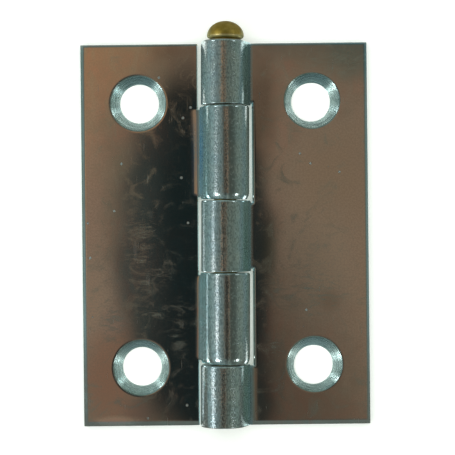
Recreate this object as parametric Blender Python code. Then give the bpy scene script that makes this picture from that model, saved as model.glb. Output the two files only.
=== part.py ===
"""Loose-pin butt hinge of pressed sheet steel, opened flat and lying on its back.

The units are metres, +Z up. X runs across the two leaves and Y runs along the pin, towards
its head. The origin lies on the surface that the hinge rests on, under the pin's axis and
halfway between the leaves' lower end and the top of the pin's head.

Each leaf is one sheet. Its tabs run flat under the pin, curl up round the far side and over
the top, and come down on the leaf's own side, where they end just above the leaf. The right
leaf has the first, third and fifth knuckle counted from the pin's head, and the left leaf
has the second and fourth.
"""

import math

import bmesh
import bpy
from mathutils import Matrix, Vector

MM = 0.001

# Leaves
LEAF_LENGTH = 50.8 * MM  # along the pin
LEFT_REACH = 19.1 * MM  # from the pin's axis to the left leaf's outer edge
RIGHT_REACH = 19.05 * MM  # from the pin's axis to the right leaf's outer edge
SHEET = 1.2 * MM  # thickness of the sheet
EDGE_ROUND = 0.25 * MM  # rounding that the press leaves on the outer edges' upper corner
EDGE_STEPS = 2

# Knuckles, from the pin's head down
BORE_RADIUS = 1.8 * MM
KNUCKLE_SHARES = (8.4, 12.3, 9.4, 12.0, 8.1)  # how the knuckles share the barrel's length
KNUCKLE_GAP = 0.15 * MM  # running gap between neighbours
TOP_OVERHANG = 0.1 * MM  # how far the first knuckle stands past the leaves' upper end
FOOT_SHORT = 0.1 * MM  # how far the last knuckle stays inside the leaves' lower end
TAIL_LIFT = math.radians(20)  # last part of each curl that stays straight, as an angle
TAIL_GAP = 0.2 * MM  # from the end of each curl to its own leaf
ARC_STEPS = 42

# Notches that leave room for the other leaf's knuckles
LEFT_SLOT = 0.6 * MM  # between a knuckle's side and the notch in the left leaf
RIGHT_SLOT = 0.65 * MM  # the same in the right leaf
NOTCH_OVERRUN = 0.3 * MM  # how far a notch runs past each end of the knuckle in it

# Screw holes
HOLE_RADIUS = 2.6 * MM
HOLE_END_INSET = 7.85 * MM  # from the leaves' upper or lower end
LEFT_HOLE_INSET = 7.8 * MM  # from the left leaf's outer edge
RIGHT_HOLE_INSET = 7.5 * MM  # from the right leaf's outer edge
COUNTERSINK_DEPTH = 1.05 * MM
COUNTERSINK_SLOPE = math.radians(45)  # half of the cone's angle
HOLE_STEPS = 56

# Loose pin
PIN_CLEARANCE = 0.3 * MM  # between the pin and the bore, on each side
PIN_SHORT = 0.6 * MM  # how far the pin's end stays inside the last knuckle
PIN_END_ROUND = 0.4 * MM
HEAD_RADIUS = 2.45 * MM
HEAD_UNDERSIDE_RADIUS = 2.2 * MM
HEAD_HEIGHT = 2.3 * MM
HEAD_RIM_HEIGHT = 0.45 * MM  # from the head's underside to its widest line
HEAD_SEAT_GAP = 0.2 * MM  # between the head and the first knuckle
PIN_STEPS = 40
DOME_STEPS = 8

KNUCKLE_RADIUS = BORE_RADIUS + SHEET
PIN_RADIUS = BORE_RADIUS - PIN_CLEARANCE
AXIS = Vector((0.0, 0.0, KNUCKLE_RADIUS))
NECK_END = KNUCKLE_RADIUS / 2  # distance from the axis at which a tab has its full width
LEAF_HIGH = (LEAF_LENGTH - TOP_OVERHANG - HEAD_SEAT_GAP - HEAD_HEIGHT) / 2
LEAF_LOW = LEAF_HIGH - LEAF_LENGTH
CUT_MARGIN = 0.5 * MM  # how far a cutter stands out of the sheet
SHARP_ANGLE = math.radians(30)


def clear_scene():
    for obj in list(bpy.data.objects):
        bpy.data.objects.remove(obj, do_unlink=True)


def metal(name, colour, roughness):
    material = bpy.data.materials.new(name)
    material.use_nodes = True
    shader = material.node_tree.nodes["Principled BSDF"]
    shader.inputs["Base Color"].default_value = (*colour, 1.0)
    shader.inputs["Metallic"].default_value = 1.0
    shader.inputs["Roughness"].default_value = roughness
    return material


def add_object(name, bm, origin=(0.0, 0.0, 0.0), material=None):
    """Makes an object of the mesh, with its origin at the given point."""
    bmesh.ops.recalc_face_normals(bm, faces=bm.faces)
    bmesh.ops.translate(bm, verts=bm.verts, vec=-Vector(origin))
    mesh = bpy.data.meshes.new(name)
    bm.to_mesh(mesh)
    bm.free()
    mesh.shade_smooth()
    mesh.set_sharp_from_angle(angle=SHARP_ANGLE)
    obj = bpy.data.objects.new(name, mesh)
    obj.location = origin
    if material:
        mesh.materials.append(material)
    bpy.context.scene.collection.objects.link(obj)
    return obj


def knuckle_spans():
    """The lowest and highest Y of each knuckle, from the pin's head down."""
    spans = []
    top = LEAF_HIGH + TOP_OVERHANG
    gaps = KNUCKLE_GAP * (len(KNUCKLE_SHARES) - 1)
    metal_length = top - LEAF_LOW - FOOT_SHORT - gaps
    for share in KNUCKLE_SHARES:
        length = metal_length * share / sum(KNUCKLE_SHARES)
        spans.append((top - length, top))
        top -= length + KNUCKLE_GAP
    return spans


def neck_spans():
    """Each tab's span where it leaves its plate, beside notches that overrun their knuckles."""
    spans = knuckle_spans()
    necks = [(low + NOTCH_OVERRUN, high - NOTCH_OVERRUN) for low, high in spans]
    necks[0] = (necks[0][0], LEAF_HIGH)
    necks[-1] = (LEAF_LOW, necks[-1][1])
    return necks


def curl_stations():
    """Points of the curl's outer and inner face, from under the pin to the curl's end.

    A point is (distance from the axis towards the leaf's own side, height).
    """
    stations = []
    last_turn = math.radians(270) - TAIL_LIFT
    for step in range(ARC_STEPS + 1):
        turn = last_turn * step / ARC_STEPS
        out, up = -math.sin(turn), -math.cos(turn)
        outer = (KNUCKLE_RADIUS * out, KNUCKLE_RADIUS + KNUCKLE_RADIUS * up)
        inner = (BORE_RADIUS * out, KNUCKLE_RADIUS + BORE_RADIUS * up)
        stations.append((outer, inner))
    outer, inner = stations[-1]
    along = (-math.cos(last_turn), math.sin(last_turn))
    tail = (SHEET + TAIL_GAP - inner[1]) / along[1]
    shift = (tail * along[0], tail * along[1])
    stations.append(
        ((outer[0] + shift[0], outer[1] + shift[1]), (inner[0] + shift[0], inner[1] + shift[1]))
    )
    return stations


def leaf_mesh(side, reach, notch, tabs, necks):
    """One leaf as a bent sheet: a plate, and a curled tab for each span in tabs."""
    rows = sorted({LEAF_LOW, LEAF_HIGH, *[y for span in tabs + necks for y in span]})
    stations = [((u, 0.0), (u, SHEET)) for u in (reach, notch, NECK_END)] + curl_stations()

    def spans_at(column):
        if column == 0:
            return [(LEAF_LOW, LEAF_HIGH)]
        return necks if column == 1 else tabs

    bm = bmesh.new()
    corners = {}

    def corner(column, row, face):
        key = (column, row, face)
        if key not in corners:
            u, z = stations[column][face]
            corners[key] = bm.verts.new((side * u, rows[row], z))
        return corners[key]

    cells = set()
    for column in range(len(stations) - 1):
        for row in range(len(rows) - 1):
            middle = (rows[row] + rows[row + 1]) / 2
            if any(low < middle < high for low, high in spans_at(column)):
                cells.add((column, row))
    for column, row in sorted(cells):
        for face in (0, 1):
            ring = ((column, row), (column + 1, row), (column + 1, row + 1), (column, row + 1))
            bm.faces.new([corner(c, r, face) for c, r in ring])
        for beside, start, end in (
            ((column - 1, row), (column, row), (column, row + 1)),
            ((column + 1, row), (column + 1, row), (column + 1, row + 1)),
            ((column, row - 1), (column, row), (column + 1, row)),
            ((column, row + 1), (column, row + 1), (column + 1, row + 1)),
        ):
            if beside not in cells:
                ends = (corner(*start, 0), corner(*end, 0), corner(*end, 1), corner(*start, 1))
                bm.faces.new(ends)
    bmesh.ops.recalc_face_normals(bm, faces=bm.faces)
    round_outer_edges(bm, side, reach, notch)
    return bm


def round_outer_edges(bm, side, reach, notch):
    """Rounds the plate's upper corner along its outer edge and its two ends."""
    tiny = MM / 1000

    def on_rim(vert):
        outward = side * vert.co.x
        at_end = min(abs(vert.co.y - LEAF_LOW), abs(vert.co.y - LEAF_HIGH)) < tiny
        on_edge = abs(outward - reach) < tiny or at_end
        return abs(vert.co.z - SHEET) < tiny and outward > notch - tiny and on_edge

    rim = [
        e
        for e in bm.edges
        if on_rim(e.verts[0])
        and on_rim(e.verts[1])
        and any(abs(f.normal.z) < 0.5 for f in e.link_faces)
    ]
    bmesh.ops.bevel(
        bm, geom=rim, offset=EDGE_ROUND, segments=EDGE_STEPS, profile=0.5, affect="EDGES"
    )


def turned_mesh(profile, steps, axis):
    """A body turned about the Y or Z axis from (radius, height) points that start and end on it."""
    bm = bmesh.new()
    rings = []
    for radius, height in profile:
        count = 1 if radius == 0.0 else steps
        ring = []
        for step in range(count):
            angle = 2 * math.pi * step / steps
            u, v = radius * math.cos(angle), radius * math.sin(angle)
            ring.append(bm.verts.new((u, height, -v) if axis == "Y" else (u, v, height)))
        rings.append(ring)
    for lower, upper in zip(rings, rings[1:]):
        for step in range(steps):
            after = (step + 1) % steps
            face = [lower[step % len(lower)], lower[after % len(lower)]]
            face += [upper[after % len(upper)], upper[step % len(upper)]]
            bm.faces.new(list(dict.fromkeys(face)))
    return bm


def countersink_cutter(name, place):
    """A hole through the sheet that opens into a cone at the top face."""
    cone_foot = SHEET - COUNTERSINK_DEPTH
    cone_top = HOLE_RADIUS + (COUNTERSINK_DEPTH + CUT_MARGIN) * math.tan(COUNTERSINK_SLOPE)
    profile = [
        (0.0, -CUT_MARGIN),
        (HOLE_RADIUS, -CUT_MARGIN),
        (HOLE_RADIUS, cone_foot),
        (cone_top, SHEET + CUT_MARGIN),
        (0.0, SHEET + CUT_MARGIN),
    ]
    cutter = add_object(name, turned_mesh(profile, HOLE_STEPS, "Z"))
    cutter.location = place
    cutter.hide_render = True
    cutter.display_type = "WIRE"
    return cutter


def make_leaf(name, side, reach, slot, hole_inset, first_tab, material):
    """A leaf with every second knuckle from first_tab on, and its two countersunk holes."""
    tabs, necks = knuckle_spans()[first_tab::2], neck_spans()[first_tab::2]
    bm = leaf_mesh(side, reach, KNUCKLE_RADIUS + slot, tabs, necks)
    leaf = add_object(name, bm, AXIS, material)
    holes = {"upper": LEAF_HIGH - HOLE_END_INSET, "lower": LEAF_LOW + HOLE_END_INSET}
    for end, y in holes.items():
        place = (side * (reach - hole_inset), y, 0.0)
        label = f"{name}_{end}_hole"
        cut = leaf.modifiers.new(label, "BOOLEAN")
        cut.operation = "DIFFERENCE"
        cut.solver = "EXACT"
        cut.object = countersink_cutter(f"{label}_cutter", place)
    return leaf


def make_pin(material):
    """The pin: a plain shank with a rounded end, and a domed head with a tapered underside."""
    spans = knuckle_spans()
    foot = spans[-1][0] + PIN_SHORT
    seat = spans[0][1] + HEAD_SEAT_GAP
    rim = seat + HEAD_RIM_HEIGHT
    profile = [
        (0.0, foot),
        (PIN_RADIUS - PIN_END_ROUND, foot),
        (PIN_RADIUS, foot + PIN_END_ROUND),
        (PIN_RADIUS, seat),
        (HEAD_UNDERSIDE_RADIUS, seat),
    ]
    for step in range(DOME_STEPS):
        angle = math.pi / 2 * step / DOME_STEPS
        rise = (HEAD_HEIGHT - HEAD_RIM_HEIGHT) * math.sin(angle)
        profile.append((HEAD_RADIUS * math.cos(angle), rim + rise))
    profile.append((0.0, seat + HEAD_HEIGHT))
    bm = turned_mesh(profile, PIN_STEPS, "Y")
    bmesh.ops.translate(bm, verts=bm.verts, vec=AXIS)
    return add_object("loose_pin", bm, AXIS, material)


def main():
    clear_scene()
    zinc = metal("zinc_plated_steel", (0.46, 0.45, 0.41), 0.28)
    zinc_pair = metal("zinc_plated_steel_pair", (0.46, 0.45, 0.41), 0.28)
    brass = metal("brass", (0.55, 0.42, 0.14), 0.3)
    make_leaf("right_leaf", 1, RIGHT_REACH, RIGHT_SLOT, RIGHT_HOLE_INSET, 0, zinc)
    left_leaf = make_leaf("left_leaf", -1, LEFT_REACH, LEFT_SLOT, LEFT_HOLE_INSET, 1, zinc_pair)
    pin = make_pin(brass)
    hinge_line = bpy.data.objects.new("hinge_line", None)
    hinge_line.location = AXIS
    bpy.context.scene.collection.objects.link(hinge_line)
    bpy.context.view_layer.update()
    for moving in (left_leaf, pin):
        moving.parent = hinge_line
        moving.matrix_parent_inverse = Matrix.Translation(-AXIS)


main()
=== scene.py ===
import math
from collections import namedtuple

import bmesh
import bpy
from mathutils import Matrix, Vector


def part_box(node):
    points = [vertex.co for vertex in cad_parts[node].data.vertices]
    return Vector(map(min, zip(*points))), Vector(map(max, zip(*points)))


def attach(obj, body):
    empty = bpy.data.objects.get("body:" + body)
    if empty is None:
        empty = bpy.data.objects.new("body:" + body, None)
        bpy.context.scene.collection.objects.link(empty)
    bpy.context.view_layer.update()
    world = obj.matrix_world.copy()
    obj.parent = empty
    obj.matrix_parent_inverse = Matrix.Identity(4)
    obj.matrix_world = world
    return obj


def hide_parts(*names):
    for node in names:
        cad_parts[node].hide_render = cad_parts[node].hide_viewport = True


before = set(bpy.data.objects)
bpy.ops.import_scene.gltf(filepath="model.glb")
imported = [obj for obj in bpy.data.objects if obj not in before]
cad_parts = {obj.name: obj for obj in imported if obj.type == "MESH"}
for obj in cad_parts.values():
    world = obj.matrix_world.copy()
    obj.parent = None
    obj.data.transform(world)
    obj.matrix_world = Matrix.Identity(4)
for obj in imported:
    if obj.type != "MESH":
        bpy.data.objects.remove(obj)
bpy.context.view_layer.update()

MM = 0.001

# Sizes shared with the solids
SHEET = 1.2 * MM
BORE_RADIUS = 1.8 * MM
KNUCKLE_RADIUS = BORE_RADIUS + SHEET
KNUCKLE_SHARES = (8.4, 12.3, 9.4, 12.0, 8.1)  # of the barrel's metal, from the pin's head down
KNUCKLE_GAP = 0.15 * MM
FOOT_SHORT = 0.1 * MM
LAST_TURN = math.radians(250)
TAIL_GAP = 0.2 * MM
NECK_END = KNUCKLE_RADIUS / 2  # nearer the axis than this, a tab is as long as its knuckle
NOTCH_OVERRUN = 0.3 * MM
HOLE_RADIUS = 2.6 * MM
HOLE_END_INSET = 7.85 * MM
COUNTERSINK_DEPTH = 1.05 * MM
COUNTERSINK_LEAN = math.radians(45)
LEAF_LOW, LEAF_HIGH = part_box("left_leaf")[0].y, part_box("left_leaf")[1].y
BARREL_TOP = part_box("right_leaf")[1].y

# What the press and the punch leave on the sheet's edges: how far each rounding reaches in
# from its edge, and its slope there
HEAD_ROLL = (0.34 * MM, math.radians(22))
FOOT_ROLL = (0.62 * MM, math.radians(20))
NOTCH_ROLL = (0.12 * MM, math.radians(50))
RIM_ROLL = (0.28 * MM, math.radians(46))
ROLL_STEPS = (0.0, 0.08, 0.2, 0.36, 0.54, 0.76, 1.0, 1.3)  # the last one keeps the flat flat
SKEW = math.radians(0.61)  # how far the plates stand off square to the barrel
SKEW_REACH = 4.8 * MM
# The plates rise a little towards their own knuckles, and are highest at HEEL_END from the
# axis: how wide each knuckle's rise is and its slope there, from the pin's head down
HEEL_END = 3.3 * MM
HEELS = (
    (0.3 * MM, math.radians(3)),
    (2.4 * MM, math.radians(13)),
    (0.9 * MM, math.radians(2.5)),
    (1.5 * MM, math.radians(17)),
    (1.3 * MM, math.radians(20)),
)
HEEL_POWER = 5  # how late the rise steepens
HEEL_FADE = 0.5 * MM  # how far in from its tab's sides the rise is full
# How far each knuckle is pulled away from its own leaf's side
KNUCKLE_PLAYS = (0.26 * MM, 0.15 * MM, 0.2 * MM, 0.27 * MM, 0.25 * MM)
MID_RADIUS = KNUCKLE_RADIUS - SHEET / 2

# The mesh
ROW_SPACING = 0.7 * MM
COLUMN_SPACING = 0.9 * MM
SPACING_SLACK = 0.01
TURN_STEP = math.radians(3.5)
MARK_DIGITS = 8  # marks that are the same to this many decimals of a metre are one
PAST_END = MM  # an end notch is taken to run on past the leaf's end
NOTCH_LEAST = 2 * MM
LEAF_SHARP_ANGLE = 40

# side is the sign of the leaf's X, first_tab the number of its first knuckle, notch_gap what
# its notches leave to the other leaf's knuckles, the rolls are roundings as above, and
# cone_shift is how far each countersink stands off its hole, the one by the pin's head first
Leaf = namedtuple(
    "Leaf",
    "name body slot side reach notch_gap hole_inset first_tab"
    " side_roll notch_roll rim_foot_roll cone_shift",
)
LEAVES = (
    Leaf(
        name="right_leaf",
        body="right_leaf",
        slot="zinc_plated_steel",
        side=1,
        reach=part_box("right_leaf")[1].x,
        notch_gap=0.62 * MM,
        hole_inset=7.5 * MM,
        first_tab=0,
        side_roll=(0.42 * MM, math.radians(34)),
        notch_roll=(0.42 * MM, math.radians(24)),
        rim_foot_roll=NOTCH_ROLL,
        cone_shift=((0.16 * MM, 0.16 * MM), (0.16 * MM, 0.14 * MM)),
    ),
    Leaf(
        name="left_leaf",
        body="left_leaf",
        slot="zinc_plated_steel_pair",
        side=-1,
        reach=-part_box("left_leaf")[0].x,
        notch_gap=0.6 * MM,
        hole_inset=7.8 * MM,
        first_tab=1,
        side_roll=(0.5 * MM, math.radians(36)),
        notch_roll=NOTCH_ROLL,
        rim_foot_roll=(0.95 * MM, math.radians(32)),
        cone_shift=((-0.17 * MM, 0.02 * MM), (-0.13 * MM, -0.1 * MM)),
    ),
)


def knuckle_spans():
    """The lowest and highest Y of each knuckle, from the pin's head down."""
    top = BARREL_TOP
    gaps = KNUCKLE_GAP * (len(KNUCKLE_SHARES) - 1)
    metal_length = top - LEAF_LOW - FOOT_SHORT - gaps
    spans = []
    for share in KNUCKLE_SHARES:
        length = metal_length * share / sum(KNUCKLE_SHARES)
        spans.append((top - length, top))
        top -= length + KNUCKLE_GAP
    return spans


def neck_spans():
    """Each tab's span where it leaves its plate."""
    necks = [(low + NOTCH_OVERRUN, high - NOTCH_OVERRUN) for low, high in knuckle_spans()]
    necks[0] = (necks[0][0], LEAF_HIGH)
    necks[-1] = (LEAF_LOW, necks[-1][1])
    return necks


def tail_length():
    """Length of the straight last part of each curl."""
    inner = KNUCKLE_RADIUS - BORE_RADIUS * math.cos(LAST_TURN)
    return (SHEET + TAIL_GAP - inner) / math.sin(LAST_TURN)


def bent(along, depth):
    """Place of a point of the sheet: distance from the axis to the leaf's side, and height.

    along runs on the flat plate where it is positive, and into the curl where it is negative.
    depth is the height over the sheet's lower face, which is the curl's outer one.
    """
    if along >= 0.0:
        return along, depth
    turn = min(-along / MID_RADIUS, LAST_TURN)
    radius = KNUCKLE_RADIUS - depth
    out, up = -radius * math.sin(turn), KNUCKLE_RADIUS - radius * math.cos(turn)
    straight = max(0.0, -along - LAST_TURN * MID_RADIUS)
    return out - straight * math.cos(turn), up + straight * math.sin(turn)


def roll(distance, size, power=2):
    """Depth of a rounding at a distance from its edge. With power 2 its slope grows evenly."""
    width, slope = size
    share = 1.0 - min(max(distance / width, 0.0), 1.0)
    return width * math.tan(slope) / power * share ** power


def skewed(x, y):
    """A point of a leaf seen from above, turned about the pin's middle as far as its place says."""
    way = (abs(x) - NECK_END) / (SKEW_REACH - NECK_END)
    turn = SKEW * min(max(way, 0.0), 1.0)
    return x * math.cos(turn) - y * math.sin(turn), y * math.cos(turn) + x * math.sin(turn)


def filled(marks, spacing):
    """The sorted marks, with more between them where they are wider apart than the spacing."""
    marks = sorted(set(round(mark, MARK_DIGITS) for mark in marks))
    line = []
    for low, high in zip(marks, marks[1:]):
        parts = max(1, math.ceil((high - low) / spacing - SPACING_SLACK))
        line += [low + (high - low) * part / parts for part in range(parts)]
    return line + marks[-1:]


def rolled_marks(edge, inward, size):
    """Marks that follow a rounding from its edge inward (+1 or -1)."""
    return [edge + inward * step * size[0] for step in ROLL_STEPS]


class Blank:
    """The flat outline of one leaf, before its tabs are curled."""

    def __init__(self, leaf):
        self.leaf = leaf
        self.notch = KNUCKLE_RADIUS + leaf.notch_gap
        self.tabs = knuckle_spans()[leaf.first_tab::2]
        self.necks = neck_spans()[leaf.first_tab::2]
        self.heels = HEELS[leaf.first_tab::2]
        self.plays = KNUCKLE_PLAYS[leaf.first_tab::2]
        self.curl_end = -(LAST_TURN * MID_RADIUS + tail_length())
        tops = [LEAF_HIGH + PAST_END] + [low for low, high in self.necks]
        feet = [high for low, high in self.necks] + [LEAF_LOW - PAST_END]
        self.notches = [span for span in zip(feet, tops) if span[1] - span[0] > NOTCH_LEAST]

    def rows(self):
        """Where the grid's lines across the pin lie, in Y."""
        marks = rolled_marks(LEAF_LOW, 1, FOOT_ROLL) + rolled_marks(LEAF_HIGH, -1, HEAD_ROLL)
        for low, high in self.tabs:
            marks += rolled_marks(low, 1, self.leaf.rim_foot_roll)
            marks += rolled_marks(high, -1, RIM_ROLL)
        for low, high in self.necks:
            if low > LEAF_LOW:
                marks += rolled_marks(low, 1, self.leaf.notch_roll)
            if high < LEAF_HIGH:
                marks += rolled_marks(high, -1, self.leaf.notch_roll)
            marks += [low + HEEL_FADE, high - HEEL_FADE]
        return filled(marks, ROW_SPACING)

    def columns(self):
        """Where the grid's lines along the pin lie, by their distance along the sheet."""
        curl = [-MID_RADIUS * TURN_STEP * step for step in range(int(LAST_TURN / TURN_STEP) + 1)]
        marks = curl + [-LAST_TURN * MID_RADIUS, NECK_END]
        marks += rolled_marks(self.curl_end, 1, NOTCH_ROLL)
        marks += rolled_marks(self.leaf.reach, -1, self.leaf.side_roll)
        marks += rolled_marks(self.notch, 1, self.leaf.notch_roll)
        for heel in self.heels:
            marks += rolled_marks(HEEL_END, 1, heel)
        marks.append(SKEW_REACH)
        return filled(marks, COLUMN_SPACING)

    def holds(self, along, y):
        """True where the blank has metal."""
        if along > self.notch:
            return LEAF_LOW < y < LEAF_HIGH
        spans = self.necks if along > NECK_END else self.tabs
        return any(low < y < high for low, high in spans)

    def notch_distance(self, along, y):
        """Distance to the nearest edge of a notch."""
        beyond = max(along - self.notch, 0.0)
        return min(math.hypot(beyond, max(foot - y, y - top, 0.0)) for foot, top in self.notches)

    def tab_at(self, y):
        """The span of the knuckle nearest to the height Y."""
        return min(self.tabs, key=lambda span: abs(sum(span) / 2 - y))

    def play(self, y):
        """How far the knuckle at the height Y is pulled aside."""
        return self.plays[self.tabs.index(self.tab_at(y))]

    def heel(self, along, y):
        """Rise of the plate next to its own knuckles."""
        rises = [0.0]
        for (low, high), size in zip(self.necks, self.heels):
            beside = min(y - low, high - y) / HEEL_FADE
            rise = roll(along - HEEL_END, size, HEEL_POWER)
            rises.append(rise * min(max(beside, 0.0), 1.0))
        return max(rises)

    def faces_at(self, along, y):
        """Depths of the lower and the upper face."""
        lower, upper = 0.0, SHEET
        if along < NECK_END:
            fade = min(1.0, (NECK_END - along) / NECK_END)
            low, high = self.tab_at(y)
            lower += fade * (roll(y - low, self.leaf.rim_foot_roll) + roll(high - y, RIM_ROLL))
            lower += roll(along - self.curl_end, NOTCH_ROLL)
            upper -= roll(y - low, NOTCH_ROLL) + roll(high - y, NOTCH_ROLL)
        else:
            upper -= roll(self.leaf.reach - along, self.leaf.side_roll)
            upper -= roll(LEAF_HIGH - y, HEAD_ROLL) + roll(y - LEAF_LOW, FOOT_ROLL)
            notch_edge = roll(self.notch_distance(along, y), self.leaf.notch_roll)
            upper += self.heel(along, y) - notch_edge
        return lower, upper


def sheet_point(blank, along, y, face):
    """Place of a point of the lower (0) or upper (1) face, bent, turned and pulled aside."""
    leaf = blank.leaf
    depth = blank.faces_at(along, y)[face]
    out, up = bent(along, depth)
    pulled = min(1.0, max(0.0, NECK_END - along) / (2 * NECK_END))
    x, y = skewed(leaf.side * out, y) if along > 0.0 else (leaf.side * out, y)
    return x - leaf.side * blank.play(y) * pulled, y, up


def metal_cells(blank, columns, rows):
    """The cells of the grid that have metal."""
    middles = [(low + high) / 2 for low, high in zip(columns, columns[1:])]
    heights = [(low + high) / 2 for low, high in zip(rows, rows[1:])]
    return {
        (column, row)
        for column, along in enumerate(middles)
        for row, y in enumerate(heights)
        if blank.holds(along, y)
    }


def sheet_mesh(leaf):
    """The leaf as a fine grid over its blank, bent round the pin."""
    blank = Blank(leaf)
    rows, columns = blank.rows(), blank.columns()
    cells = metal_cells(blank, columns, rows)
    bm = bmesh.new()
    corners = {}

    def corner(column, row, face):
        key = (column, row, face)
        if key not in corners:
            corners[key] = bm.verts.new(sheet_point(blank, columns[column], rows[row], face))
        return corners[key]

    for column, row in sorted(cells):
        ring = ((column, row), (column + 1, row), (column + 1, row + 1), (column, row + 1))
        for face in (0, 1):
            bm.faces.new([corner(c, r, face) for c, r in ring])
        walls = (
            ((column - 1, row), ring[0], ring[3]),
            ((column + 1, row), ring[1], ring[2]),
            ((column, row - 1), ring[0], ring[1]),
            ((column, row + 1), ring[3], ring[2]),
        )
        for beside, start, end in walls:
            if beside not in cells:
                wall = [corner(*start, 0), corner(*end, 0), corner(*end, 1), corner(*start, 1)]
                bm.faces.new(wall)
    bmesh.ops.recalc_face_normals(bm, faces=bm.faces)
    return bm


def turned(profile, steps, axis):
    """A closed body turned about Y or Z from (radius, height) points that start and end on it."""
    bm = bmesh.new()
    rings = []
    for radius, height in profile:
        ring = []
        for step in range(steps if radius else 1):
            angle = 2 * math.pi * step / steps
            u, v = radius * math.cos(angle), radius * math.sin(angle)
            ring.append(bm.verts.new((u, height, -v) if axis == "Y" else (u, v, height)))
        rings.append(ring)
    for lower, upper in zip(rings, rings[1:]):
        for step in range(steps):
            after = (step + 1) % steps
            face = [lower[step % len(lower)], lower[after % len(lower)]]
            face += [upper[after % len(upper)], upper[step % len(upper)]]
            bm.faces.new(list(dict.fromkeys(face)))
    bmesh.ops.recalc_face_normals(bm, faces=bm.faces)
    return bm


def new_object(name, bm):
    mesh = bpy.data.meshes.new(name)
    bm.to_mesh(mesh)
    bm.free()
    obj = bpy.data.objects.new(name, mesh)
    bpy.context.scene.collection.objects.link(obj)
    return obj


HOLE_STEPS = 96
CUT_MARGIN = 0.5 * MM
LIP_TANGENT = 0.16 * MM  # from the countersink's corner to each end of its rounded lip
LIP_STEPS = 5
SHAVE = (0.2 * MM, 0.002 * MM)  # a flat step round the lip, which keeps the plate's shading flat
CUTTER_FOOT = 0.2 * MM  # the cutter's foot ends this far below and inside the cone's


def countersink_profile():
    """A 45 degree cone whose upper edge rounds over into the sheet's face."""
    corner = HOLE_RADIUS + COUNTERSINK_DEPTH
    radius = LIP_TANGENT / math.tan(COUNTERSINK_LEAN / 2)
    foot = SHEET - COUNTERSINK_DEPTH - CUTTER_FOOT
    points = [(0.0, foot), (HOLE_RADIUS - CUTTER_FOOT, foot)]
    for step in range(LIP_STEPS + 1):
        lean = COUNTERSINK_LEAN * (1 - step / LIP_STEPS)
        out = corner + LIP_TANGENT - radius * math.sin(lean)
        points.append((out, SHEET - radius + radius * math.cos(lean)))
    points = [(out, height - SHAVE[1]) for out, height in points]
    edge = points[-1][0] + SHAVE[0]
    points += [(edge, SHEET - SHAVE[1]), (edge, SHEET + CUT_MARGIN), (0.0, SHEET + CUT_MARGIN)]
    return points


def cut_holes(obj, leaf):
    """Punches the two holes and turns their countersinks, each a little off its hole's centre."""
    x = leaf.side * (leaf.reach - leaf.hole_inset)
    heights = (LEAF_HIGH - HOLE_END_INSET, LEAF_LOW + HOLE_END_INSET)
    places = [skewed(x, y) for y in heights]
    bore = [(0.0, -CUT_MARGIN), (HOLE_RADIUS, -CUT_MARGIN)]
    bore += [(HOLE_RADIUS, SHEET + CUT_MARGIN), (0.0, SHEET + CUT_MARGIN)]
    cutters = []
    for (x, y), shift in zip(places, leaf.cone_shift):
        cone_place = (x + shift[0], y + shift[1])
        for profile, place in ((bore, (x, y)), (countersink_profile(), cone_place)):
            cutter = new_object("cutter", turned(profile, HOLE_STEPS, "Z"))
            cutter.location = (*place, 0.0)
            cut = obj.modifiers.new("cut", "BOOLEAN")
            cut.operation, cut.solver, cut.object = "DIFFERENCE", "EXACT", cutter
            cutters.append(cutter)
    settle(obj)
    for cutter in cutters:
        bpy.data.objects.remove(cutter)
    return [Vector(place) for place in places]


def settle(obj):
    """Puts the result of the object's modifiers in its mesh."""
    bpy.context.view_layer.update()
    evaluated = obj.evaluated_get(bpy.context.evaluated_depsgraph_get())
    mesh = bpy.data.meshes.new_from_object(evaluated)
    obj.modifiers.clear()
    obj.data = mesh


def shade(obj, sharp_angle):
    """Smooth shading that stays sharp over edges of more than the angle, in degrees."""
    obj.data.shade_smooth()
    obj.data.set_sharp_from_angle(angle=math.radians(sharp_angle))
    weighted = obj.modifiers.new("normals", "WEIGHTED_NORMAL")
    weighted.keep_sharp = True
    settle(obj)


# Materials
SPOT_FADE = (1.15, 0.15)  # distance from a spot's centre, in its sizes, where it is gone and full
SPOT_WOBBLE_SCALE = 450.0


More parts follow.
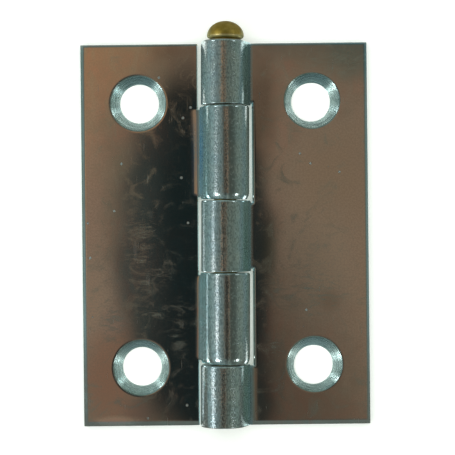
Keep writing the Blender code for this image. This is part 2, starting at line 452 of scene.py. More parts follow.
class Nodes:
    """Adds and links the nodes of one material or world."""

    def __init__(self, owner):
        owner.use_nodes = True
        self.tree = owner.node_tree
        self.tree.nodes.clear()

    def add(self, kind, inputs=None, **settings):
        node = self.tree.nodes.new("ShaderNode" + kind)
        for name, value in settings.items():
            setattr(node, name, value)
        for name, value in (inputs or {}).items():
            if isinstance(value, bpy.types.NodeSocket):
                self.tree.links.new(value, node.inputs[name])
            else:
                node.inputs[name].default_value = value
        return node

    def place(self):
        """The point on the object, in metres."""
        return self.add("TexCoord").outputs["Object"]

    def scaled(self, vector, scale, location=(0.0, 0.0, 0.0)):
        mapping = self.add("Mapping", {"Vector": vector, "Scale": scale, "Location": location})
        return mapping.outputs["Vector"]

    def noise(self, vector, scale, detail=3.0, roughness=0.5, distortion=0.0):
        inputs = {"Vector": vector, "Scale": scale, "Detail": detail}
        inputs |= {"Roughness": roughness, "Distortion": distortion}
        return self.add("TexNoise", inputs).outputs["Fac"]

    def axis(self, vector, name):
        """The X, Y or Z of a vector."""
        return self.add("SeparateXYZ", {0: vector}).outputs[name]

    def length(self, vector):
        return self.add("VectorMath", {0: vector}, operation="LENGTH").outputs["Value"]

    def math(self, operation, first, second=0.0, third=0.0):
        inputs = {0: first, 1: second, 2: third}
        return self.add("Math", inputs, operation=operation).outputs["Value"]

    def span(self, value, low, high, start=0.0, end=1.0):
        """Maps the value smoothly from low..high to start..end, and holds it there."""
        inputs = {"Value": value, "From Min": low, "From Max": high, "To Min": start, "To Max": end}
        return self.add("MapRange", inputs, interpolation_type="SMOOTHSTEP").outputs["Result"]

    def mix(self, share, first, second, blend="MIX"):
        node = self.add("Mix", data_type="RGBA", blend_type=blend)
        sockets = (node.inputs[0], node.inputs[6], node.inputs[7])
        for socket, value in zip(sockets, (share, first, second)):
            if isinstance(value, bpy.types.NodeSocket):
                self.tree.links.new(value, socket)
            elif isinstance(value, tuple):
                socket.default_value = (*value, 1.0)
            else:
                socket.default_value = value
        return node.outputs[2]

    def bump(self, height):
        """Height in metres."""
        inputs = {"Height": height, "Distance": 1.0, "Strength": 1.0}
        return self.add("Bump", inputs).outputs["Normal"]

    def spot(self, vector, centre, size, ragged=0.35):
        """1 in the middle of a soft stain, 0 outside it. Centre and size in millimetres."""
        scale = (1 / (size[0] * MM), 1 / (size[1] * MM), 0.0)
        offset = (-centre[0] / size[0], -centre[1] / size[1], 0.0)
        local = self.scaled(vector, scale, offset)
        noise = self.noise(vector, SPOT_WOBBLE_SCALE)
        wobble = self.math("MULTIPLY_ADD", noise, 2 * ragged, -ragged)
        return self.span(self.math("ADD", self.length(local), wobble), *SPOT_FADE)


StainOrPaintedLight = namedtuple("StainOrPaintedLight", "centre size colour share")
Smear = namedtuple("Smear", "centre size share")


def finish_metal(nodes, base, roughness, height, brushed=None):
    """Adds the metal's shader. brushed has further inputs for it."""
    inputs = {"Base Color": base, "Metallic": 1.0, "Roughness": roughness}
    inputs |= {"Normal": nodes.bump(height)} | (brushed or {})
    shader = nodes.add("BsdfPrincipled", inputs)
    nodes.add("OutputMaterial", {"Surface": shader.outputs["BSDF"]})


def shaded(tint, *factors):
    """The tint with each of its channels multiplied."""
    return tuple(value * factor for value, factor in zip(tint, factors))


def streaky_spot(nodes, place, smear):
    """A spot broken up into wisps."""
    stretched = nodes.scaled(place, (420.0, 1300.0, 400.0))
    wisps = nodes.span(nodes.noise(stretched, 1.0, 6.0, 0.7, 1.4), 0.43, 0.66)
    spot = nodes.spot(place, smear.centre, smear.size, ragged=0.6)
    return nodes.math("MULTIPLY", spot, wisps)


def dullness(nodes, place, smears):
    """Where the plate is smeared: thinly all over, and at the given smears."""
    dull = nodes.span(nodes.noise(place, 260.0, 6.0, 0.7, 1.6), 0.5, 0.72)
    for smear in smears:
        wisps = nodes.math("MULTIPLY", streaky_spot(nodes, place, smear), smear.share)
        dull = nodes.math("MAXIMUM", dull, wisps)
    return dull


def dust_and_scratches(nodes, place):
    """Specks, and half as strong the short scratches along the pin."""
    points = nodes.add("TexVoronoi", {"Vector": place, "Scale": 330.0, "Randomness": 1.0})
    speck = nodes.span(points.outputs["Distance"], 0.08, 0.03)
    stretched = nodes.scaled(place, (9000.0, 260.0, 500.0))
    scratch = nodes.span(nodes.noise(stretched, 1.0, 2.0), 0.7, 0.8)
    return nodes.math("MAXIMUM", speck, nodes.math("MULTIPLY", scratch, 0.5))


def plate_colour(nodes, place, tint, stains_and_painted_light, grain):
    """Clouds, veins, tinted patches, some of them painted reflections and shade, and a fine grain
    in the plating.
    """
    cloud = nodes.span(nodes.noise(place, 130.0, 5.0, 0.6, 0.5), 0.3, 0.7)
    base = nodes.mix(cloud, shaded(tint, 1.14, 0.96, 0.96), shaded(tint, 0.86, 0.97, 0.99))
    veins = nodes.noise(nodes.scaled(place, (700.0, 260.0, 260.0)), 1.0, 5.0, 0.65, 0.8)
    vein = nodes.span(veins, 0.42, 0.68, 0.0, 0.8)
    base = nodes.mix(vein, base, shaded(tint, 0.96, 1.08, 1.12))
    # Each patch multiplies the tint; painted reflections and painted shade are among them
    for stain_or_painted_light in stains_and_painted_light:
        spot = nodes.spot(place, stain_or_painted_light.centre, stain_or_painted_light.size)
        share = nodes.math("MULTIPLY", spot, stain_or_painted_light.share)
        base = nodes.mix(share, base, shaded(tint, *stain_or_painted_light.colour))
    grey = nodes.span(grain, 0.35, 0.65, 0.0, 0.3)
    return nodes.mix(grey, base, shaded(tint, 0.8, 0.82, 0.84))


PLATE_ROUGHNESS = 0.07
DULL_ROUGHNESS = 0.13
DULL_COLOUR = (0.96, 1.18, 1.22)
DUST_ROUGHNESS = 0.5
DUST_COLOUR = (0.85, 0.86, 0.84)
SLOW_WAVE_HEIGHT = 0.03 * MM
PLATE_GRAIN_HEIGHT = 0.0004 * MM


def plate_material(name, tint, stains_and_painted_light, smears):
    """Bright zinc on the flat of a leaf: nearly a mirror, smeared by handling, with tinted patches,
    some of them painted reflections and shade.
    """
    material = bpy.data.materials.new(name)
    nodes = Nodes(material)
    place = nodes.place()
    grain = nodes.noise(place, 4200.0, 2.0)
    base = plate_colour(nodes, place, tint, stains_and_painted_light, grain)
    dust = dust_and_scratches(nodes, place)
    dull = dullness(nodes, place, smears)
    base = nodes.mix(nodes.math("MULTIPLY", dust, 0.5), base, DUST_COLOUR)
    base = nodes.mix(nodes.math("MULTIPLY", dull, 0.5), base, shaded(tint, *DULL_COLOUR))
    roughness = nodes.math("MULTIPLY_ADD", dull, DULL_ROUGHNESS, PLATE_ROUGHNESS)
    roughness = nodes.math("MULTIPLY_ADD", dust, DUST_ROUGHNESS, roughness)
    wave = nodes.math("MULTIPLY", nodes.noise(place, 110.0, 1.0, 0.4), SLOW_WAVE_HEIGHT)
    height = nodes.math("MULTIPLY_ADD", grain, PLATE_GRAIN_HEIGHT, wave)
    finish_metal(nodes, base, roughness, height)
    return material


# Distances from the axis towards the leaf's own side
FLANK = (2.2 * MM, 2.7 * MM)  # where the barrel's flank begins, and where it is full
NECK = (2.95 * MM, 3.05 * MM)  # where the flank gives way to the neck beside the plate
CURL_FADE = (2.95 * MM, 3.1 * MM)  # where the curl's orange peel dies away
# Painted reflection tones on the barrel's flanks and at its neck, as multipliers of the tint
OWN_FLANK_PAINTED_TONE = (0.98, 1.18, 1.19)
OPEN_FLANK_PAINTED_LIGHT = (1.25, 1.17, 1.16)
NECK_PAINTED_TONES = {1: (0.78, 0.95, 1.05), -1: (0.98, 1.16, 1.2)}  # by the leaf's side
PEEL_HEIGHT = 0.014 * MM
DRAWN_HEIGHT = 0.014 * MM
BEND_LINE_HEIGHT = 0.02 * MM

# Painted highlights and painted dark reflections in lines along the barrel: the X where each
# begins, is full, begins to fade and ends, and the Y up to which it runs, all in millimetres, its
# tone, and whether it leans with the plates
Line = namedtuple("Line", "low full falling high top tone leans")
BARREL_END = 30.0  # beyond the whole barrel
SECOND_KNUCKLE = 9.0  # about its middle
PAINTED_BARREL_REFLECTIONS = {
    1: (
        Line(-3.06, -2.97, -2.83, -2.72, SECOND_KNUCKLE, 0.68, False),
        Line(-0.8, -0.55, -0.2, 0.0, BARREL_END, 1.3, True),
        Line(0.0, 0.15, 0.6, 0.9, BARREL_END, 1.2, True),
    ),
    -1: (
        Line(-0.3, -0.16, 0.06, 0.18, BARREL_END, 0.62, True),
        Line(0.2, 0.32, 0.38, 0.5, BARREL_END, 1.4, True),
        Line(0.5, 0.64, 1.1, 1.6, BARREL_END, 0.62, True),
    ),
}


def painted_barrel_reflections(nodes, place, side, base):
    """Painted highlights and painted dark reflections in lines along the barrel, broken up by
    flecks.
    """
    across, along = nodes.axis(place, "X"), nodes.axis(place, "Y")
    leaning = nodes.math("MULTIPLY_ADD", along, math.tan(SKEW), across)
    unflecked = nodes.span(nodes.noise(place, 2600.0, 2.0, 0.6), 0.66, 0.54)
    for line in PAINTED_BARREL_REFLECTIONS[side]:
        where = leaning if line.leans else across
        rise = nodes.span(where, line.low * MM, line.full * MM)
        fall = nodes.span(where, line.high * MM, line.falling * MM)
        below = nodes.span(along, (line.top + 0.1) * MM, line.top * MM)
        share = nodes.math("MULTIPLY", nodes.math("MULTIPLY", rise, fall), unflecked)
        share = nodes.math("MULTIPLY", share, below)
        base = nodes.mix(share, base, (line.tone, line.tone, line.tone), "MULTIPLY")
    return base


def curl_colour(nodes, place, tint, side, outward):
    """Clouded zinc with painted reflection tones on the flanks and at the neck, and painted
    highlights and dark reflections in the lines.
    """
    cloud = nodes.span(nodes.noise(place, 380.0, 4.0, 0.65), 0.3, 0.7)
    base = nodes.mix(cloud, shaded(tint, 1.1, 1.06, 1.04), shaded(tint, 0.9, 0.96, 0.99))
    # Painted reflection tones: lighter on the open flank, tinted on the own flank and at the neck
    open_flank_light = nodes.span(outward, -FLANK[0], -FLANK[1])
    base = nodes.mix(open_flank_light, base, shaded(tint, *OPEN_FLANK_PAINTED_LIGHT))
    base = nodes.mix(nodes.span(outward, *FLANK), base, shaded(tint, *OWN_FLANK_PAINTED_TONE))
    base = nodes.mix(nodes.span(outward, *NECK), base, shaded(tint, *NECK_PAINTED_TONES[side]))
    return painted_barrel_reflections(nodes, place, side, base)


def curl_material(name, tint, side):
    """Zinc on the curled knuckles, where the bend has raised a fine orange peel."""
    material = bpy.data.materials.new(name)
    nodes = Nodes(material)
    place = nodes.place()
    outward = nodes.math("MULTIPLY", nodes.axis(place, "X"), side)
    base = curl_colour(nodes, place, tint, side, outward)
    peel = nodes.noise(place, 5200.0, 1.0, 0.4)
    drawn = nodes.noise(nodes.scaled(place, (5200.0, 3000.0, 5200.0)), 1.0, 1.0, 0.4)
    lines = nodes.noise(nodes.scaled(place, (1500.0, 90.0, 1500.0)), 1.0, 2.0, 0.5)
    curled = nodes.span(outward, *CURL_FADE, 1.0, 0.1)
    pits = nodes.math("MULTIPLY", nodes.span(drawn, 0.56, 0.34, 0.0, 0.55), curled)
    base = nodes.mix(pits, base, shaded(tint, 0.5, 0.54, 0.55))
    roughness = nodes.span(peel, 0.3, 0.7, 0.13, 0.24)
    height = nodes.math("MULTIPLY", peel, PEEL_HEIGHT)
    height = nodes.math("MULTIPLY_ADD", drawn, DRAWN_HEIGHT, height)
    height = nodes.math("MULTIPLY_ADD", lines, BEND_LINE_HEIGHT, height)
    finish_metal(nodes, base, roughness, nodes.math("MULTIPLY", height, curled))
    return material


TURNING_HEIGHT = 0.035 * MM


def turned_material(name, tint):
    """Zinc over the fine turning lines of a countersink, with painted shade on the walls by the
    pin's head and foot.
    """
    material = bpy.data.materials.new(name)
    nodes = Nodes(material)
    place = nodes.place()
    line = nodes.noise(nodes.scaled(place, (120.0, 120.0, 9000.0)), 1.0, 3.0, 0.6)
    cloud = nodes.span(nodes.noise(place, 900.0, 4.0, 0.7), 0.35, 0.65)
    base = nodes.mix(cloud, shaded(tint, 1.08, 1.08, 1.08), shaded(tint, 0.74, 0.76, 0.77))
    facing = nodes.axis(nodes.add("TexCoord").outputs["Normal"], "Y")
    # Painted shade: the wall on the pin's head side is darker, and the one on its foot side a
    # little
    head_wall_shade = nodes.span(facing, -0.25, -0.66)
    base = nodes.mix(head_wall_shade, base, shaded(tint, 0.34, 0.41, 0.45))
    foot_wall_shade = nodes.span(facing, 0.6, 0.7, 0.0, 0.5)
    base = nodes.mix(foot_wall_shade, base, shaded(tint, 0.56, 0.58, 0.58))
    ridge = nodes.span(line, 0.5, 0.64, 0.0, 0.55)
    base = nodes.mix(ridge, base, shaded(tint, 0.42, 0.46, 0.48))
    roughness = nodes.span(line, 0.3, 0.7, 0.2, 0.34)
    height = nodes.math("MULTIPLY", line, TURNING_HEIGHT)
    upward = nodes.add("VectorTransform", {"Vector": (0.0, 0.0, 1.0)}, vector_type="VECTOR",
                       convert_from="OBJECT", convert_to="WORLD").outputs["Vector"]
    finish_metal(nodes, base, roughness, height, {"Anisotropic": 0.9, "Tangent": upward})
    return material


SHEAR_HEIGHT = 0.02 * MM


def cut_material(name, tint):
    """Zinc over a sheared edge, streaked through the sheet's thickness."""
    material = bpy.data.materials.new(name)
    nodes = Nodes(material)
    streak = nodes.noise(nodes.scaled(nodes.place(), (4200.0, 4200.0, 500.0)), 1.0, 3.0, 0.6)
    base = nodes.mix(nodes.span(streak, 0.3, 0.7), tint, shaded(tint, 0.7, 0.7, 0.7))
    roughness = nodes.span(streak, 0.3, 0.7, 0.22, 0.4)
    finish_metal(nodes, base, roughness, nodes.math("MULTIPLY", streak, SHEAR_HEIGHT))
    return material


BRASS_LIGHT = (0.68, 0.51, 0.13)
BRASS_DARK = (0.47, 0.33, 0.06)
BRASS_RIM_HIGHLIGHT = (0.97, 0.84, 0.45)
BRASS_SIDE_SHADE = (0.36, 0.33, 0.13)
RIM_HIGHLIGHT_BAND = (0.1 * MM, 0.22 * MM, 0.38 * MM, 0.6 * MM)  # painted highlight round the head's rim, measured from its seat
HEAD_SHADED_SIDE = (1.7 * MM, 2.3 * MM)  # how far out the painted shade on the head's sides begins, and is full
HEAD_RING_HEIGHT = 0.012 * MM
BRASS_GRAIN_HEIGHT = 0.006 * MM


def brass_material(seat):
    """Drawn and headed brass, with fine turning lines round the head that sits at the Y seat, a
    painted highlight round its rim and painted shade on its sides.
    """
    material = bpy.data.materials.new("brass")
    nodes = Nodes(material)
    place = nodes.place()
    cloud = nodes.span(nodes.noise(place, 700.0, 5.0, 0.7), 0.32, 0.68)
    base = nodes.mix(cloud, BRASS_LIGHT, BRASS_DARK)
    low, full, falling, high = (seat + rise for rise in RIM_HIGHLIGHT_BAND)
    along = nodes.axis(place, "Y")
    # Painted highlight: a lighter band round the head's rim
    above_low = nodes.span(along, low, full, 0.0, 0.7)
    rim_highlight = nodes.math("MULTIPLY", above_low, nodes.span(along, high, falling))
    base = nodes.mix(rim_highlight, base, BRASS_RIM_HIGHLIGHT)
    # Painted shade: the head's sides are darker
    sideways = nodes.math("ABSOLUTE", nodes.axis(place, "X"))
    base = nodes.mix(nodes.span(sideways, *HEAD_SHADED_SIDE), base, BRASS_SIDE_SHADE)
    rings = nodes.noise(nodes.scaled(place, (150.0, 7000.0, 150.0)), 1.0, 3.0, 0.6)
    grain = nodes.noise(place, 3000.0, 3.0, 0.6)
    height = nodes.math("MULTIPLY", rings, HEAD_RING_HEIGHT)
    height = nodes.math("MULTIPLY_ADD", grain, BRASS_GRAIN_HEIGHT, height)
    finish_metal(nodes, base, nodes.span(grain, 0.3, 0.7, 0.42, 0.52), height)
    return material


# The hinge
PLATE_TINT = (0.70, 0.78, 0.76)
CURL_TINT = (0.68, 0.80, 0.81)
TURNED_TINT = (0.69, 0.89, 0.86)
CUT_TINT = (0.62, 0.72, 0.70)
# Centres and sizes are in millimetres. Each patch multiplies the plating's tint by its colour;
# those marked below are painted reflections and painted shade
RIGHT_STAINS_AND_PAINTED_LIGHT = (
    StainOrPaintedLight((14.0, 0.0), (12.0, 24.0), (1.28, 1.38, 1.5), 0.9),
    StainOrPaintedLight((18.6, -5.0), (3.4, 28.0), (1.27, 1.29, 1.34), 0.9),
    StainOrPaintedLight((9.0, 25.0), (14.0, 4.4), (0.66, 0.78, 0.86), 0.85),
    StainOrPaintedLight((16.8, 23.0), (6.0, 4.4), (0.5, 0.78, 0.9), 0.9),
    # Painted reflection: a dark green band beside the middle knuckle
    StainOrPaintedLight((5.6, -3.0), (1.6, 6.0), (0.62, 0.75, 0.75), 0.9),
    # Painted reflection: a darker band beside the barrel towards the pin's head
    StainOrPaintedLight((4.6, 15.5), (2.9, 9.5), (0.56, 0.55, 0.55), 0.95),
    StainOrPaintedLight((13.9, -10.1), (2.0, 2.0), (0.82, 0.8, 0.8), 0.6),
    StainOrPaintedLight((6.4, -7.4), (0.6, 1.6), (1.15, 1.2, 1.2), 0.5),
    StainOrPaintedLight((6.6, -16.7), (0.7, 1.6), (1.15, 1.2, 1.2), 0.5),
    StainOrPaintedLight((14.0, 6.5), (7.0, 9.0), (1.16, 1.16, 1.12), 0.7),
)
LEFT_STAINS_AND_PAINTED_LIGHT = (
    StainOrPaintedLight((-18.4, -2.0), (3.6, 24.0), (1.36, 1.3, 1.36), 0.8),
    StainOrPaintedLight((-17.6, -11.0), (4.4, 9.0), (1.34, 1.42, 1.52), 0.8),
    StainOrPaintedLight((-6.2, 23.8), (4.6, 3.2), (0.6, 0.56, 0.56), 0.9),
    StainOrPaintedLight((-5.4, 18.0), (2.4, 8.0), (0.8, 0.82, 0.86), 0.9),
    StainOrPaintedLight((-11.4, -24.8), (3.0, 2.4), (0.8, 0.76, 0.84), 0.9),
    StainOrPaintedLight((-15.6, -20.0), (4.6, 8.0), (1.12, 0.88, 0.84), 0.9),
    StainOrPaintedLight((-15.0, -13.0), (2.4, 2.2), (1.15, 1.15, 1.28), 0.7),
    StainOrPaintedLight((-14.4, -26.2), (3.8, 0.8), (1.7, 1.7, 1.7), 0.8),
    StainOrPaintedLight((-12.0, -3.4), (0.35, 1.7), (1.9, 2.0, 2.0), 0.6),
    StainOrPaintedLight((-10.3, -7.4), (0.35, 1.1), (1.9, 2.0, 2.0), 0.6),
    StainOrPaintedLight((-10.0, 1.3), (0.5, 0.9), (1.7, 1.8, 1.8), 0.5),
    # Painted reflection: a blue-grey band beside the second knuckle
    StainOrPaintedLight((-4.15, 10.0), (0.55, 7.0), (0.45, 0.76, 1.2), 1.0),
    # Painted shade: a darker band along the leaf's outer edge
    StainOrPaintedLight((-19.5, 0.0), (1.0, 40.0), (0.8, 0.8, 0.72), 1.0),
)
# Smears make the mirror dull
LEFT_SMEARS = (
    Smear((-11.2, -2.2), (3.2, 4.6), 1.6),
    Smear((-9.6, -7.6), (3.0, 3.4), 1.3),
    Smear((-6.2, -14.5), (1.4, 6.0), 1.3),
    Smear((-9.4, -11.6), (4.0, 1.6), 1.3),
    Smear((-15.0, -13.0), (2.6, 2.4), 1.3),
    Smear((-5.6, 15.4), (1.8, 5.0), 0.3),
)
RIGHT_SMEARS = (
    Smear((12.0, -9.0), (5.5, 5.0), 1.4),
    Smear((6.6, -7.6), (1.2, 2.4), 1.2),
    Smear((14.6, 21.5), (4.5, 2.4), 1.2),
    Smear((6.8, -16.5), (1.4, 2.6), 1.2),
)


def make_leaf(leaf, stains_and_painted_light, smears):
    """One leaf, with a finish for each kind of its surfaces."""
    obj = new_object(f"{leaf.name}_fine", sheet_mesh(leaf))
    holes = cut_holes(obj, leaf)
    looks = {
        "plate": plate_material(f"{leaf.name}_plate", PLATE_TINT, stains_and_painted_light, smears),
        "curl": curl_material(f"{leaf.name}_curl", CURL_TINT, leaf.side),
        "countersink": turned_material(f"{leaf.name}_countersink", TURNED_TINT),
        "cut": cut_material(f"{leaf.name}_cut", CUT_TINT),
    }
    obj.data.materials.clear()
    for look in looks.values():
        obj.data.materials.append(look)
    kinds = list(looks)
    for face in obj.data.polygons:
        face.material_index = kinds.index(surface_kind(face, leaf, holes))
    shade(obj, LEAF_SHARP_ANGLE)
    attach(obj, leaf.body)
    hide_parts(leaf.name)


RIM_MARGIN = 0.4 * MM
FACE_MARGIN = 0.01 * MM
# How much a face looks up, or along the pin, to be of a kind
FLAT_FACING = 0.995
CONE_FACING = 0.2
PLATE_FACING = 0.3
END_FACING = 0.7


def surface_kind(face, leaf, holes):
    """Which finish a face has."""
    centre, normal = face.center, face.normal
    rim = HOLE_RADIUS + COUNTERSINK_DEPTH + LIP_TANGENT
    for hole in holes:
        near = (centre.xy - hole).length < rim + RIM_MARGIN
        if near and normal.z < FLAT_FACING and 0.0 < centre.z < SHEET + FACE_MARGIN:
            return "countersink" if normal.z > CONE_FACING else "cut"
    if leaf.side * centre.x > KNUCKLE_RADIUS + leaf.notch_gap:
        return "plate" if abs(normal.z) > PLATE_FACING else "cut"
    return "cut" if abs(normal.y) > END_FACING else "curl"


HEAD_RADIUS = 2.45 * MM
HEAD_UNDERSIDE_RADIUS = 2.2 * MM
HEAD_HEIGHT = 2.3 * MM
HEAD_RIM_HEIGHT = 0.45 * MM
HEAD_LIFT = 0.12 * MM  # the dark groove between the knuckle and the head
HEAD_RISE = 0.17 * MM  # how much higher than the solid's the dome is
HEAD_EDGE_ROUND = 0.06 * MM
HEAD_FLARE = 0.14 * MM  # how far out and up from its underside the head has one more edge
PIN_RADIUS = 1.5 * MM
PIN_END_ROUND = 0.4 * MM
PIN_END_STEPS = 6
PIN_STEPS = 128
DOME_STEPS = 20
PIN_SHARP_ANGLE = 35


def make_pin():
    """The pin, from its rounded foot to its domed head."""
    low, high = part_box("loose_pin")
    seat = high.y - HEAD_HEIGHT
    rim = seat + HEAD_RIM_HEIGHT
    profile = [(0.0, low.y)]
    for step in range(PIN_END_STEPS + 1):
        angle = math.pi / 2 * step / PIN_END_STEPS
        out = PIN_RADIUS - PIN_END_ROUND * (1 - math.sin(angle))
        profile.append((out, low.y + PIN_END_ROUND * (1 - math.cos(angle))))
    foot = seat + HEAD_LIFT
    profile += [(PIN_RADIUS, foot), (HEAD_UNDERSIDE_RADIUS - HEAD_EDGE_ROUND, foot)]
    profile.append((HEAD_UNDERSIDE_RADIUS, foot + HEAD_EDGE_ROUND))
    profile.append((HEAD_UNDERSIDE_RADIUS + HEAD_FLARE, foot + HEAD_FLARE))
    for step in range(DOME_STEPS):
        angle = math.pi / 2 * step / DOME_STEPS
        rise = (HEAD_HEIGHT - HEAD_RIM_HEIGHT + HEAD_RISE) * math.sin(angle)
        profile.append((HEAD_RADIUS * math.cos(angle), rim + rise))
    profile.append((0.0, high.y + HEAD_RISE))
    bm = turned(profile, PIN_STEPS, "Y")
    bmesh.ops.translate(bm, verts=bm.verts, vec=(0.0, 0.0, KNUCKLE_RADIUS))
    obj = new_object("loose_pin_fine", bm)
    obj.data.materials.append(brass_material(seat))
    shade(obj, PIN_SHARP_ANGLE)
    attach(obj, "pin")
    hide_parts("loose_pin")


# The stage
FLOOR_SIZE = 4.0
FLOOR_DROP = 0.02 * MM  # below the leaves' backs, so that the faces don't coincide
FLOOR_GLOW = 0.36  # how white the floor is where no light reaches it
FLOOR_GLOW_TINT = (0.9, 1.0, 0.88)
FLOOR_PAPER = (0.8, 0.8, 0.8)


def make_floor():
    """A white floor that can't be seen from below."""
    bm = bmesh.new()
    bmesh.ops.create_grid(bm, x_segments=1, y_segments=1, size=FLOOR_SIZE / 2)
    floor = new_object("floor", bm)
    floor.location.z = -FLOOR_DROP
    material = bpy.data.materials.new("floor_white")
    nodes = Nodes(material)
    rays = nodes.add("LightPath").outputs
    seen = nodes.math("MAXIMUM", rays["Is Camera Ray"], rays["Is Glossy Ray"])
    seen = nodes.math("MAXIMUM", seen, rays["Is Transmission Ray"])
    paper = nodes.add("BsdfDiffuse", {"Color": (*FLOOR_PAPER, 1.0)})
    strength = nodes.math("MULTIPLY", seen, FLOOR_GLOW)
    glow = nodes.add("Emission", {"Color": (*FLOOR_GLOW_TINT, 1.0), "Strength": strength})
    both = nodes.add("AddShader", {0: paper.outputs[0], 1: glow.outputs[0]})
    clear = nodes.add("BsdfTransparent")
    behind = nodes.add("NewGeometry").outputs["Backfacing"]
    shown = nodes.add("MixShader", {0: behind, 1: both.outputs[0], 2: clear.outputs[0]})
    nodes.add("OutputMaterial", {"Surface": shown.outputs[0]})
    floor.data.materials.append(material)


CAMERA_PLACE = (0.277 * MM, -0.384 * MM, 205 * MM)
CAMERA_LENS = 121.05
CAMERA_NEAR = 0.01


def make_camera():
    """The camera looks straight down."""
    data = bpy.data.cameras.new("camera")
    data.lens = CAMERA_LENS
    data.clip_start = CAMERA_NEAR
    camera = bpy.data.objects.new("camera", data)
    camera.location = CAMERA_PLACE
    bpy.context.scene.collection.objects.link(camera)
    bpy.context.scene.camera = camera


# The room's colour by the height of the direction looked in, from the horizon up
ROOM_COLOURS = (
    (0.0, (0.21, 0.26, 0.25)),
    (0.1, (0.23, 0.29, 0.285)),
    (0.3, (0.22, 0.28, 0.27)),
    (0.5, (0.18, 0.22, 0.21)),
    (0.72, (0.165, 0.2, 0.19)),
    (0.88, (0.14, 0.16, 0.15)),
    (0.975, (0.12, 0.125, 0.11)),
    (0.989, (0.214, 0.137, 0.095)),
)
LEFT_SHARE = (1.2, 1.2, 1.2)
RIGHT_SHARE = (0.82, 0.77, 0.67)
SIDE_TURN = 0.6  # how far to a side the full share lies
# A warmer patch overhead, towards one corner
CORNER_WAY = (-0.8, 0.6, 0.0)
CORNER_LEAN = (0.08, 0.14)
CORNER_HEIGHT = (0.972, 0.984)
CORNER_COLOUR = (0.36, 0.197, 0.11)


def make_sky():
    """A studio room: warm overhead, cool to the sides, and lighter on the left."""
    world = bpy.data.worlds.new("studio")
    bpy.context.scene.world = world
    nodes = Nodes(world)
    direction = nodes.add("TexCoord").outputs["Generated"]
    sideways, height = nodes.axis(direction, "X"), nodes.axis(direction, "Z")
    ramp = nodes.add("ValToRGB", {"Fac": height})
    elements = ramp.color_ramp.elements
    while len(elements) < len(ROOM_COLOURS):
        elements.new(0.5)
    for element, (position, colour) in zip(elements, ROOM_COLOURS):
        element.position = position
        element.color = (*colour, 1.0)
    side = nodes.mix(nodes.span(sideways, -SIDE_TURN, SIDE_TURN), LEFT_SHARE, RIGHT_SHARE)
    lean = nodes.add("VectorMath", {0: direction, 1: CORNER_WAY}, operation="DOT_PRODUCT")
    corner = nodes.span(lean.outputs["Value"], *CORNER_LEAN)
    corner = nodes.math("MULTIPLY", corner, nodes.span(height, *CORNER_HEIGHT))
    colour = nodes.mix(corner, ramp.outputs["Color"], CORNER_COLOUR)
    colour = nodes.mix(1.0, colour, side, "MULTIPLY")
    seen = nodes.add("LightPath").outputs["Is Camera Ray"]
    background = nodes.add("Background", {"Color": nodes.mix(seen, colour, (1.0, 1.0, 1.0))})
    nodes.add("OutputWorld", {"Surface": background.outputs["Background"]})


Lamp = namedtuple("Lamp", "name place width height radiance colour mirrored")
LAMPS = (
    Lamp("left_front_box", (-0.33, -0.19, 0.24), 0.12, 0.12, 6.0, (1.0, 0.995, 0.98), True),
    Lamp("left_rear_box", (-0.33, 0.19, 0.24), 0.1, 0.1, 5.0, (0.98, 0.995, 1.0), True),
    Lamp("right_front_box", (0.33, -0.19, 0.24), 0.1, 0.1, 3.6, (1.0, 0.995, 0.98), True),
    Lamp("right_rear_box", (0.33, 0.19, 0.24), 0.09, 0.09, 2.6, (0.98, 0.995, 1.0), True),
    Lamp("left_strip", (-0.34, -0.075, 0.25), 0.18, 0.07, 1.1, (1.0, 0.97, 1.0), True),
    Lamp("overhead_fill", (0.0, 0.1, 0.9), 1.8, 1.8, 1.25, (1.0, 1.0, 1.0), False),
)


def make_lamps():
    """Soft boxes aimed at the middle of the hinge."""
    for lamp in LAMPS:
        data = bpy.data.lights.new(lamp.name, "AREA")
        data.shape = "RECTANGLE"
        data.size, data.size_y = lamp.width, lamp.height
        data.color = lamp.colour
        data.energy = lamp.radiance * math.pi * lamp.width * lamp.height
        obj = bpy.data.objects.new(lamp.name, data)
        obj.location = lamp.place
        obj.rotation_euler = (-Vector(lamp.place)).to_track_quat("-Z", "Y").to_euler()
        obj.visible_glossy = lamp.mirrored
        bpy.context.scene.collection.objects.link(obj)


LENS_HEIGHT = 206 * MM
VEIL_HEIGHT = 208 * MM
LENS_PLACE = (-8.5 * MM, -7.2 * MM, LENS_HEIGHT)
LENS_REACH = (20.0 * MM, 47.5 * MM)
VEIL_PLACE = (7.2 * MM, -60.0 * MM, VEIL_HEIGHT)
VEIL_REACH = (34.0 * MM, 68.0 * MM)
CARD_MARGIN = 2.2  # the card's edge, in reaches, well past where its look has faded
LENS_TONE = (0.011, 0.017, 0.017)
LENS_LEFT_TONE = (0.055, 0.056, 0.05)
GRIP_SCALE = (1.56, 0.926, 0.0)
GRIP_OFFSET = (-0.66, 0.667, 0.0)
VEIL_TONE = (0.03, 0.02, 0.016)


def make_card(name, place, reach, look):
    """A soft-edged shape by the camera that the leaves mirror and the camera doesn't see."""
    bm = bmesh.new()
    bmesh.ops.create_circle(bm, cap_ends=True, segments=64, radius=CARD_MARGIN)
    card = new_object(name, bm)
    card.location = place
    card.scale = (*reach, 1.0)
    material = bpy.data.materials.new(name)
    nodes = Nodes(material)
    tone, clearness = look(nodes, nodes.place())
    glow = nodes.add("Emission", {"Color": tone})
    clear = nodes.add("BsdfTransparent")
    shown = nodes.add("MixShader", {0: clearness, 1: glow.outputs[0], 2: clear.outputs[0]})
    nodes.add("OutputMaterial", {"Surface": shown.outputs[0]})
    card.data.materials.append(material)
    card.visible_camera = card.visible_diffuse = card.visible_shadow = False


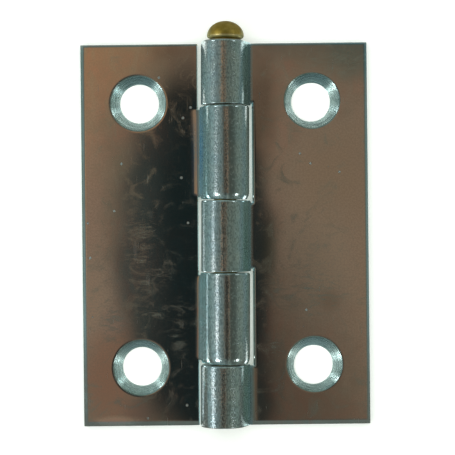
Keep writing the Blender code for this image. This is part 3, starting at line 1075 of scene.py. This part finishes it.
def lens_look(nodes, spot):
    """The dark front of the camera, greyer towards its left side, and its grip."""
    leftness = nodes.span(nodes.axis(spot, "X"), -0.2, -0.95)
    tone = nodes.mix(leftness, LENS_TONE, LENS_LEFT_TONE)
    outside = nodes.span(nodes.length(spot), 0.9, 1.13)
    past_grip = nodes.length(nodes.scaled(spot, GRIP_SCALE, GRIP_OFFSET))
    past_grip = nodes.span(past_grip, 0.82, 1.12, 0.13, 1.0)
    return tone, nodes.math("MULTIPLY", outside, past_grip)


def veil_look(nodes, spot):
    """What stands dimly by the camera, on the side of the pin's foot."""
    distance = nodes.length(spot)
    edge = nodes.span(distance, 1.04, 0.94, 0.0, 0.13)
    middle = nodes.span(distance, 1.0, 0.4, 0.0, 0.36)
    return (*VEIL_TONE, 1.0), nodes.math("SUBTRACT", 1.0, nodes.math("ADD", edge, middle))


FLAG_REACH = (21.8 * MM, 27.3 * MM)
FLAG_HEIGHT = 6.5 * MM
FLAG_LEFT = (0.19, 0.255, 0.24)
FLAG_RIGHT = (0.145, 0.19, 0.18)
FLAG_FRONT = (0.14, 0.15, 0.13)
FLAG_BACK = (0.26, 0.28, 0.25)


def make_flag():
    """A low wall round the hinge that keeps the floor out of the metal's flanks."""
    bm = bmesh.new()
    bmesh.ops.create_cube(bm, size=1.0)
    caps = [face for face in bm.faces if abs(face.normal.z) > 0.5]
    bmesh.ops.delete(bm, geom=caps, context="FACES_ONLY")
    flag = new_object("flag", bm)
    flag.location.z = FLAG_HEIGHT / 2
    flag.scale = (2 * FLAG_REACH[0], 2 * FLAG_REACH[1], FLAG_HEIGHT)
    material = bpy.data.materials.new("flag_grey")
    nodes = Nodes(material)
    place = nodes.place()
    along = nodes.axis(place, "Y")
    tone = nodes.mix(nodes.span(nodes.axis(place, "X"), -0.5, 0.5), FLAG_LEFT, FLAG_RIGHT)
    tone = nodes.mix(nodes.span(along, -0.2, -0.5), tone, FLAG_FRONT)
    tone = nodes.mix(nodes.span(along, 0.4, 0.5), tone, FLAG_BACK)
    glow = nodes.add("Emission", {"Color": tone})
    nodes.add("OutputMaterial", {"Surface": glow.outputs[0]})
    flag.data.materials.append(material)
    flag.visible_camera = flag.visible_diffuse = flag.visible_shadow = False


bpy.context.scene.view_settings.view_transform = "Standard"
make_leaf(LEAVES[0], RIGHT_STAINS_AND_PAINTED_LIGHT, RIGHT_SMEARS)
make_leaf(LEAVES[1], LEFT_STAINS_AND_PAINTED_LIGHT, LEFT_SMEARS)
make_pin()
make_floor()
make_camera()
make_sky()
make_lamps()
make_flag()
make_card("lens_card", LENS_PLACE, LENS_REACH, lens_look)
make_card("veil_card", VEIL_PLACE, VEIL_REACH, veil_look)
